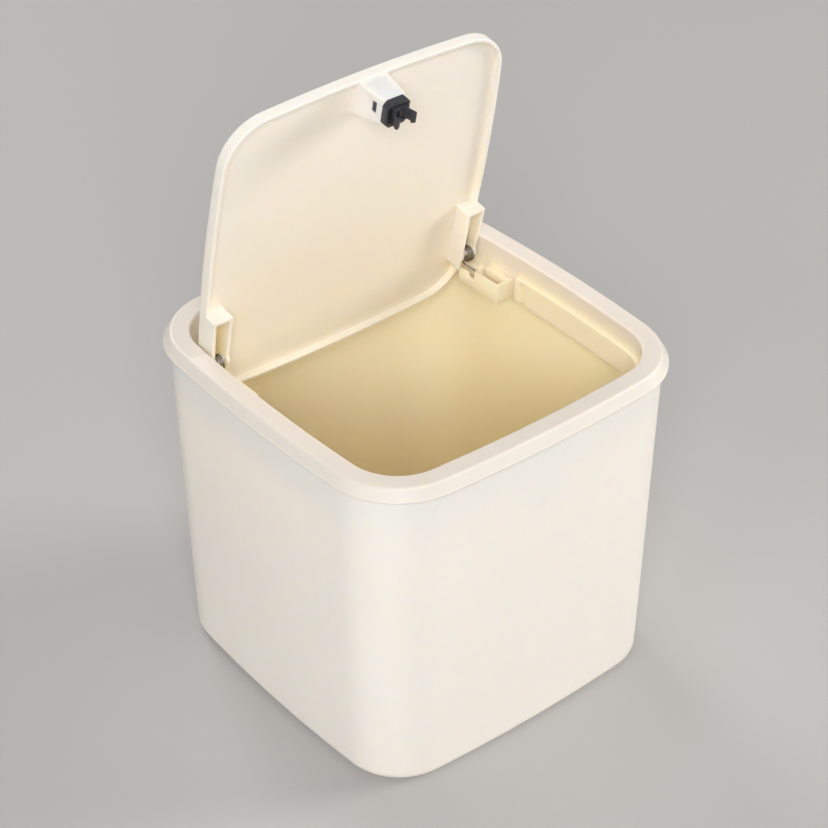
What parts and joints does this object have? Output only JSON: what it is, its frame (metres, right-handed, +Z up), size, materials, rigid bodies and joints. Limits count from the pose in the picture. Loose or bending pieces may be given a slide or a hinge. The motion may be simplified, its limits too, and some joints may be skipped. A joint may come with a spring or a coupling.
{
  "type": "countertop bin",
  "caption": "Square countertop bin with bowed sides, a clipped-on rim frame and a lid on sprung side hinges that a press-to-open touch latch holds shut.",
  "frame": {"origin": "middle of the base, on the surface the bin stands on", "axes": "+Z up, -Y to the front where the latch is, X along the hinge line"},
  "size_m": [0.1948, 0.1974, 0.3076],
  "materials": {
    "bin_plastic": "satin moulded polypropylene",
    "rim_plastic": "satin moulded polypropylene",
    "black_plastic": "moulded acetal",
    "spring_wire": "oiled spring steel wire"
  },
  "bodies": {
    "bin": {"bucket": "bin_plastic", "rim_frame": "rim_plastic", "latch_striker": "black_plastic"},
    "lid": {"lid": "bin_plastic", "hinge_pin_left": "rim_plastic", "hinge_pin_right": "rim_plastic", "torsion_spring_left": "spring_wire", "torsion_spring_right": "spring_wire", "latch_case": "black_plastic", "cam_pin": "spring_wire", "latch_spring": "spring_wire"},
    "latch_plunger": {"latch_plunger": "black_plastic", "jaw_pins": "spring_wire"},
    "jaw_left": {"jaw_left": "black_plastic"},
    "jaw_right": {"jaw_right": "black_plastic"}
  },
  "joints": [
    {"name": "lid_hinge", "type": "hinge", "parent": "bin", "child": "lid", "pos_m": [0, 0.054, 0.171], "axis": [1, 0, 0], "range_deg": [0, 78], "stiffness_Nm_per_rad": 0.03, "springref_deg": -60.16, "deforming": ["torsion_spring_left", "torsion_spring_right"]},
    {"name": "latch_slide", "type": "slide", "parent": "lid", "child": "latch_plunger", "axis": [0, 0.9781, 0.2079], "range_m": [0, 0.0025], "stiffness_N_per_m": 300, "springref_m": -0.003, "deforming": ["latch_spring"]},
    {"name": "jaw_right_hinge", "type": "hinge", "parent": "latch_plunger", "child": "jaw_right", "pos_m": [0.00185, 0.01191, 0.29445], "axis": [0, 0.2079, -0.9781], "range_deg": [0, 20]},
    {"name": "jaw_left_hinge", "type": "hinge", "parent": "latch_plunger", "child": "jaw_left", "pos_m": [-0.00185, 0.01191, 0.29445], "axis": [0, 0.2079, -0.9781], "range_deg": [-20, 0]}
  ],
  "couplings": [
    {"joint": "jaw_right_hinge", "follows": "latch_slide", "rad_per_m": 139.63},
    {"joint": "jaw_left_hinge", "follows": "latch_slide", "rad_per_m": -139.63}
  ]
}
